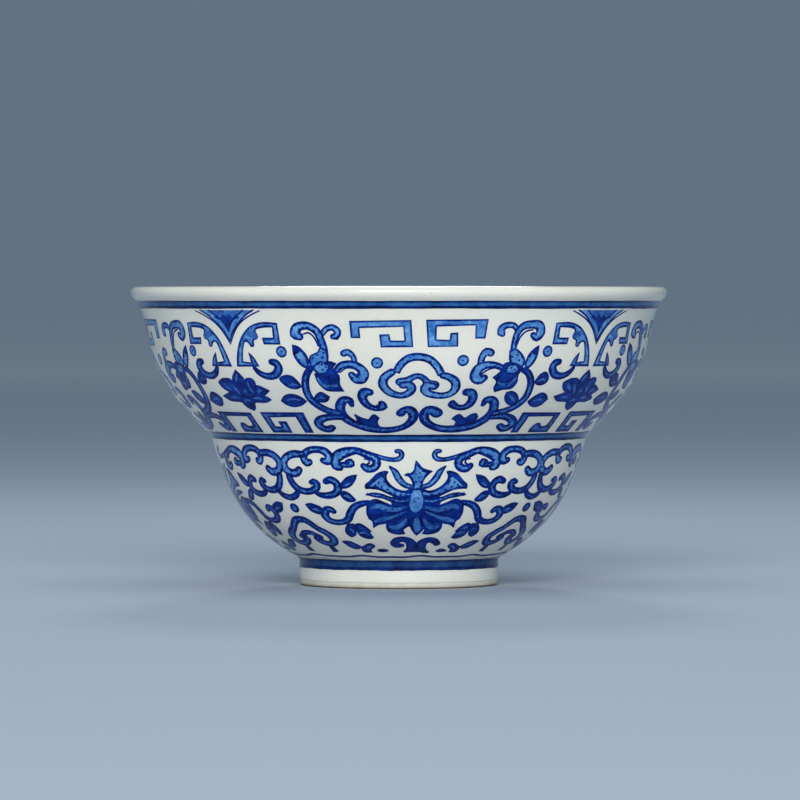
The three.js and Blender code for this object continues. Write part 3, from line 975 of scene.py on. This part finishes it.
def frieze_sheets(draw_middle, draw_between, middle_depth, top, bottom):
    """Every sheet of a frieze as (places on the cup, normals, texture places, faces, tones)."""
    sheets = []
    for layer, draw in enumerate((draw_middle, draw_between)):
        chart = Chart(middle_depth, seed=7 + layer)
        draw(chart)
        place, faces, tones = chart.triangles()
        for unit in range(REPEATS):
            turn = BETWEEN_TURNS[unit] if layer else unit * UNIT
            steady = layer == 1 and unit == 1
            across, down = hand_drift(place, 0 if steady else unit)
            angle = place[:, 0] + turn + across
            depth = place[:, 1] + down
            spots, normals = on_face(angle, depth, FILM + layer * FILM_STEP)
            u = (place[:, 0] + SHEET_EDGE) / (2 * SHEET_EDGE)
            v = (unit + (place[:, 1] - top) / (bottom - top)) / REPEATS
            sheets.append((spots, normals, np.column_stack([u, v]), faces[:, ::-1], tones))
    return sheets


def frieze_piece(name, sheets, tone):
    """One piece that holds everything in a frieze that is painted in one tone."""
    spots, normals, faces, uv = [], [], [], []
    start = 0
    for all_spots, all_normals, all_uv, all_faces, tones in sheets:
        mine = all_faces[tones == tone]
        used, mine = np.unique(mine, return_inverse=True)
        mine = mine.reshape(-1, 3)
        spots.append(all_spots[used])
        normals.append(all_normals[used])
        uv.append(all_uv[used][mine].reshape(-1, 2))
        faces.extend((mine + start).tolist())
        start += len(used)
    return new_object(name, np.vstack(spots), faces, np.vstack(uv), np.vstack(normals))


def band_edge(angle, depth):
    """The depth of a band's edge round the cup, a little uneven as a brush leaves it."""
    a = np.radians(angle)
    seed = 5 * depth
    waves = np.sin(9 * a + seed) + 0.7 * np.sin(23 * a + 2 * seed) + 0.5 * np.sin(61 * a + 3 * seed)
    return depth + BAND_UNEVENNESS * waves / 2


def band_piece(name, stripes, lift=0.0):
    """Painted rings round the cup, each from one depth to another."""
    columns, rows = BAND_COLUMNS, BAND_ROWS
    angle = np.arange(columns) * 360 / columns
    spots, normals, faces, uv = [], [], [], []
    for n, (top, bottom) in enumerate(stripes):
        upper = band_edge(angle, top)
        lower = band_edge(angle, bottom)
        for row in range(rows + 1):
            depth = upper + (lower - upper) * row / rows
            place, normal = on_face(angle, depth, FILM + lift)
            spots.append(place)
            normals.append(normal)
        first = n * (rows + 1) * columns
        for row in range(rows):
            for i in range(columns):
                j = (i + 1) % columns
                a, b = first + row * columns, first + (row + 1) * columns
                faces.append([a + i, b + i, b + j, a + j])
                left, right = i / columns, (i + 1) / columns
                v0 = (n + row / rows) / len(stripes)
                v1 = (n + (row + 1) / rows) / len(stripes)
                uv.extend([(left, v0), (left, v1), (right, v1), (right, v0)])
    return new_object(name, np.vstack(spots), faces, uv, np.vstack(normals))


# ---------------------------------------------------------------------------------------------
# Porcelain: solids of revolution.
# ---------------------------------------------------------------------------------------------
COLUMNS = 240


def turned_piece(name, outline):
    """A closed outline of [radius, height] points revolved about the axis."""
    angle = np.radians(np.arange(COLUMNS) * 360 / COLUMNS)
    spots, rings = [], []
    for r, z in outline:
        if r < 1e-6:
            rings.append([len(spots)] * COLUMNS)
            spots.append((0, 0, z))
            continue
        rings.append([len(spots) + i for i in range(COLUMNS)])
        spots.extend((r * np.sin(a), -r * np.cos(a), z) for a in angle)
    if outline[0][0] > 1e-6:
        rings.append(rings[0])
    length = np.r_[0, np.cumsum(np.hypot(*np.diff(np.vstack([outline, outline[:1]]), axis=0).T))]
    length /= length[-1]
    faces, uv = [], []
    for n, (low, high) in enumerate(zip(rings, rings[1:])):
        v0, v1 = length[n], length[n + 1]
        for i in range(COLUMNS):
            j = (i + 1) % COLUMNS
            corners = [(low[i], i, v0), (low[j], i + 1, v0), (high[j], i + 1, v1), (high[i], i, v1)]
            kept = [c for k, c in enumerate(corners) if c[0] != corners[k - 1][0]]
            faces.append([c[0] for c in kept])
            uv.extend((c[1] / COLUMNS, c[2]) for c in kept)
    return new_object(name, np.array(spots) * MM, faces, uv)


def cup_outline():
    """The glazed porcelain, closed across the foot where the bare ring takes over."""
    turned_in = 0.04
    edge_top = BARE_Z + 0.1
    edge = [(FOOT_R - turned_in, BARE_Z), (FOOT_R, edge_top)]
    skin = whole_skin()[1:]
    skin = skin[~((skin[:, 0] > FOOT_R - 1) & (skin[:, 1] < edge_top))]
    bore_edge = [(BORE_R, edge_top), (BORE_R + turned_in, BARE_Z)]
    return join(edge, skin, underside()[:-1], bore_edge)


def foot_outline():
    """The unglazed ring that the cup stands on."""
    top = BARE_Z - 0.02
    inset = 0.03
    outer, inner = FOOT_R - inset, BORE_R + inset
    return join(
        curve(10, (PAD_OUTER_R, 0), (outer, 0), (outer, top)),
        curve(10, (inner, top), (inner, 0), (PAD_INNER_R, 0)),
        curve(4, (PAD_INNER_R, 0), (PAD_OUTER_R, 0))[:-1],
    )


# ---------------------------------------------------------------------------------------------
# Materials. Their patterns are procedural and follow each piece's own coordinates.
# ---------------------------------------------------------------------------------------------
class Look:
    """A material being made: its nodes, its links and its surface shader."""

    def __init__(self, name):
        self.material = bpy.data.materials.new(name)
        self.material.use_nodes = True
        self.nodes = self.material.node_tree.nodes
        self.links = self.material.node_tree.links
        self.shader = self.nodes["Principled BSDF"]

    def node(self, kind, **values):
        """A node with its plain settings, and a number or colour or link for each named input."""
        made = self.nodes.new(kind)
        for key, value in values.items():
            if hasattr(made, key):
                setattr(made, key, value)
            else:
                self.put(made.inputs[key], value)
        return made

    def put(self, socket, value):
        if isinstance(value, bpy.types.NodeSocket):
            self.links.new(value, socket)
        else:
            socket.default_value = value

    def surface(self, **values):
        for key, value in values.items():
            self.put(self.shader.inputs[key.replace("_", " ")], value)

    def noise(self, scale, detail=3.0, roughness=0.55):
        """Noise from 0 to 1 with this many waves to a metre."""
        where = self.node("ShaderNodeTexCoord").outputs["Object"]
        made = self.node("ShaderNodeTexNoise", Scale=scale, Detail=detail, Roughness=roughness)
        self.links.new(where, made.inputs["Vector"])
        return made.outputs["Fac"]

    def cells(self, scale):
        """Distance from the middle of the nearest of many scattered cells."""
        where = self.node("ShaderNodeTexCoord").outputs["Object"]
        return self.node("ShaderNodeTexVoronoi", Vector=where, Scale=scale).outputs["Distance"]

    def height(self):
        """Height above the floor, in millimetres."""
        where = self.node("ShaderNodeTexCoord").outputs["Object"]
        parts = self.node("ShaderNodeSeparateXYZ", Vector=where)
        scaled = self.node("ShaderNodeMath", operation="DIVIDE")
        self.links.new(parts.outputs["Z"], scaled.inputs[0])
        scaled.inputs[1].default_value = MM
        return scaled.outputs["Value"]

    def ramp(self, value, *stops):
        """A colour or grey for each value, from (place, colour) stops."""
        made = self.node("ShaderNodeValToRGB")
        ramp = made.color_ramp
        while len(ramp.elements) < len(stops):
            ramp.elements.new(0.5)
        for element, (place, colour) in zip(ramp.elements, stops):
            element.position = place
            element.color = (*colour, 1)
        self.links.new(value, made.inputs["Fac"])
        return made.outputs["Color"]

    def blend(self, factor, a, b, way="MIX"):
        made = self.nodes.new("ShaderNodeMix")
        made.data_type = "RGBA"
        made.blend_type = way
        self.put(made.inputs["Factor"], factor)
        for socket, value in ((made.inputs[6], a), (made.inputs[7], b)):
            self.put(socket, value if isinstance(value, bpy.types.NodeSocket) else (*value, 1))
        return made.outputs[2]

    def height_bump(self, value, strength, distance):
        made = self.node("ShaderNodeBump", Strength=strength, Distance=distance, Height=value)
        self.links.new(made.outputs["Normal"], self.shader.inputs["Normal"])


GLAZE_ROUGHNESS = 0.09
GLAZE_SHINE = 0.25
GLAZE_RIPPLE = 0.05  # strength of the ripple
RIPPLE_HEIGHT = 0.0004  # metres
STIPPLE_SCALE = 1500  # dots of pigment to a metre


def gloss(look):
    """The clear glaze over everything: glassy, with the faint ripple of a dipped coat."""
    look.surface(Roughness=GLAZE_ROUGHNESS, IOR=1.5, Specular_IOR_Level=GLAZE_SHINE)
    look.height_bump(look.noise(260, 2.0), GLAZE_RIPPLE, RIPPLE_HEIGHT)


def porcelain_look():
    look = Look("glazed_porcelain")
    cloudy = look.ramp(
        look.noise(55, 4.0),
        (0.3, (0.80, 0.775, 0.68)),
        (0.7, (0.86, 0.84, 0.75)),
    )
    specks = look.ramp(
        look.noise(1400, 2.0), (0.25, (0.93, 0.91, 0.86)), (0.36, (1, 1, 1))
    )
    look.surface(
        Base_Color=look.blend(1.0, cloudy, specks, "MULTIPLY"),
        Subsurface_Weight=0.25,
        Subsurface_Radius=(1.0, 0.85, 0.6),
        Subsurface_Scale=0.0012,
    )
    gloss(look)
    return look.material


def cobalt_look(name, pale, dark, scale, stipple=0.0):
    """Cobalt wash under the glaze, pooled unevenly by the brush and stippled with darker dots."""
    look = Look(name)
    pools = look.ramp(look.noise(scale, 4.0, 0.6), (0.35, dark), (0.65, pale))
    grain = look.ramp(look.noise(3200, 2.0), (0.3, (0.72, 0.75, 0.82)), (0.6, (1, 1, 1)))
    colour = look.blend(1.0, pools, grain, "MULTIPLY")
    if stipple:
        dots = look.ramp(look.cells(STIPPLE_SCALE), (0.16, (0.22, 0.36, 0.62)), (0.30, (1, 1, 1)))
        colour = look.blend(stipple, colour, dots, "MULTIPLY")
    look.surface(Base_Color=colour)
    gloss(look)
    return look.material


def bare_foot_look():
    look = Look("bare_foot_ring")
    clay = look.ramp(
        look.noise(420, 5.0), (0.3, (0.66, 0.60, 0.49)), (0.7, (0.76, 0.72, 0.62))
    )
    # The clay turns browner and darker towards the bottom edge of the foot, fully so below 0.12 mm.
    browner_towards_bottom = look.ramp(look.height(), (0.12, (0.62, 0.42, 0.25)), (0.38, (1, 1, 1)))
    clay = look.blend(1.0, clay, browner_towards_bottom, "MULTIPLY")
    look.surface(Base_Color=clay, Roughness=0.62, IOR=1.45)
    look.height_bump(look.noise(2600, 3.0), 0.35, 0.0001)
    return look.material


# ---------------------------------------------------------------------------------------------
# The cup.
# ---------------------------------------------------------------------------------------------
def dress(piece, look, slot, *nodes):
    piece.data.materials.append(look)
    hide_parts(*nodes)


def make_cup():
    porcelain = turned_piece("porcelain_cup", cup_outline())
    dress(porcelain, porcelain_look(), "glaze", "bowl_body", "glaze_coat", "base_glaze")
    foot = turned_piece("bare_foot_pad", foot_outline())
    dress(foot, bare_foot_look(), "bare_foot", "foot_ring")

    ink = cobalt_look("cobalt_ink", (0.001, 0.045, 0.34), (0.0005, 0.006, 0.08), 900)
    deep = cobalt_look("cobalt_deep", (0.006, 0.072, 0.40), (0.001, 0.014, 0.14), 700, 0.5)
    mid = cobalt_look("cobalt_mid", (0.10, 0.28, 0.62), (0.016, 0.090, 0.34), 600, 0.7)
    wash = cobalt_look("cobalt_wash", (0.22, 0.46, 0.76), (0.04, 0.18, 0.50), 520, 0.55)
    line = cobalt_look("cobalt_line_dark", (0.004, 0.040, 0.20), (0.001, 0.010, 0.065), 500)
    band = cobalt_look("cobalt_band_wash", (0.050, 0.20, 0.46), (0.022, 0.11, 0.32), 500)
    # Painted shade: the foot band's wash is a darker copy of the rim and waist band wash, standing in
    # for the shade low on the cup.
    foot_band_shaded = cobalt_look("cobalt_foot_wash_shaded", (0.035, 0.10, 0.24), (0.014, 0.050, 0.16), 500)

    friezes = (
        ("upper", frieze_sheets(upper_middle, upper_between, 15, 2.5, 27.5)),
        ("lower", frieze_sheets(lower_middle, lower_between, 40, 28.5, 53.5)),
    )
    for tier, sheets in friezes:
        for tone, look in (("ink", ink), ("deep", deep), ("mid", mid), ("wash", wash)):
            piece = frieze_piece(f"{tier}_frieze_{tone}", sheets, tone)
            dress(piece, look, "cobalt_frieze", f"{tier}_frieze_cobalt")

    bands = (
        ("rim", band, (1.7, 3.1), ((1.68, 2.14), (2.64, 3.14))),
        ("waist", band, (27.1, 28.4), ((26.93, 27.42), (28.0, 28.5))),
        ("foot", foot_band_shaded, (54.0, 55.6), ((53.85, 54.45), (55.15, 55.7))),
    )
    for place, look, wash_stripe, dark_stripes in bands:
        node = f"{place}_line_cobalt"
        dress(band_piece(f"{place}_band_wash", [wash_stripe]), look, "cobalt_line", node)
        lines = band_piece(f"{place}_band_lines", dark_stripes, lift=FILM_STEP)
        dress(lines, line, "cobalt_line", node)


# ---------------------------------------------------------------------------------------------
# Floor, light and camera.
# ---------------------------------------------------------------------------------------------
FLOOR_FADE = 3.0  # metres over which the floor grows lighter
FLOOR_REACH = 30.0  # metres from the middle of the floor to each side
CUP_MIDDLE = (0, 0, 0.03)
SPOT_ANGLE = 28  # degrees across the spotlight's cone
SPOT_SOFTNESS = 0.15
CAMERA_PLACE = (0, -1.007, 0.0478)
CAMERA_AIM = (0.0002, 0, 0.0310)
LENS = 270
SENSOR_WIDTH = 36


def floor_look():
    """Pale floor, a little lighter far off, where it meets the horizon."""
    look = Look("pale_floor")
    where = look.node("ShaderNodeTexCoord").outputs["Object"]
    far = look.node("ShaderNodeVectorMath", operation="SCALE")
    look.links.new(where, far.inputs[0])
    far.inputs["Scale"].default_value = 1 / FLOOR_FADE
    fade = look.node("ShaderNodeTexGradient", gradient_type="SPHERICAL")
    look.links.new(far.outputs["Vector"], fade.inputs["Vector"])
    colour = look.ramp(fade.outputs["Fac"], (0.0, (1.0, 1.0, 1.0)), (0.8, (0.52, 0.59, 0.67)))
    look.surface(Base_Color=colour, Roughness=0.9, Specular_IOR_Level=0.1)
    return look.material


def make_stage():
    mesh = bpy.data.meshes.new("studio_floor")
    far = FLOOR_REACH
    corners = [(-far, -far, 0), (far, -far, 0), (far, far, 0), (-far, far, 0)]
    mesh.from_pydata(corners, [], [(0, 1, 2, 3)])
    floor = bpy.data.objects.new("studio_floor", mesh)
    mesh.materials.append(floor_look())
    bpy.context.scene.collection.objects.link(floor)


def aimed(name, data, place, aim):
    """A light or camera that faces a point."""
    made = bpy.data.objects.new(name, data)
    made.location = place
    made.rotation_euler = (Vector(aim) - Vector(place)).to_track_quat("-Z", "Y").to_euler()
    bpy.context.scene.collection.objects.link(made)
    return made


def soft_box(name, place, side, watts, colour=(1, 1, 1)):
    """A square area light that faces the cup."""
    light = bpy.data.lights.new(name, "AREA")
    light.shape = "RECTANGLE"
    light.size = side
    light.size_y = side
    light.energy = watts
    light.color = colour
    aimed(name, light, place, CUP_MIDDLE)


def soft_spot(name, place, watts):
    """A soft-edged spotlight that takes in the cup and a little of the floor round it."""
    light = bpy.data.lights.new(name, "SPOT")
    light.energy = watts
    light.spot_size = math.radians(SPOT_ANGLE)
    light.spot_blend = 1.0
    light.shadow_soft_size = SPOT_SOFTNESS
    aimed(name, light, place, CUP_MIDDLE)


def make_light():
    world = bpy.data.worlds.new("studio")
    world.use_nodes = True
    background = world.node_tree.nodes["Background"]
    background.inputs["Color"].default_value = (0.56, 0.74, 0.94, 1)
    background.inputs["Strength"].default_value = 0.23
    bpy.context.scene.world = world
    bpy.context.scene.view_settings.view_transform = "Standard"
    bpy.context.scene.view_settings.look = "Medium High Contrast"
    soft_box("key_box", (-0.2, -2.0, 0.8), 0.8, 22.8)
    soft_box("fill_box", (0.48, -2.0, 0.62), 0.6, 7.4, (0.95, 0.98, 1))
    soft_box("top_box", (0, 0.1, 0.95), 0.9, 1.8)
    soft_spot("back_spot", (0, 1.5, 0.75), 15.0)


def make_camera():
    camera = bpy.data.cameras.new("view_camera")
    camera.lens = LENS
    camera.sensor_width = SENSOR_WIDTH
    bpy.context.scene.camera = aimed("view_camera", camera, CAMERA_PLACE, CAMERA_AIM)


make_cup()
make_stage()
make_light()
make_camera()
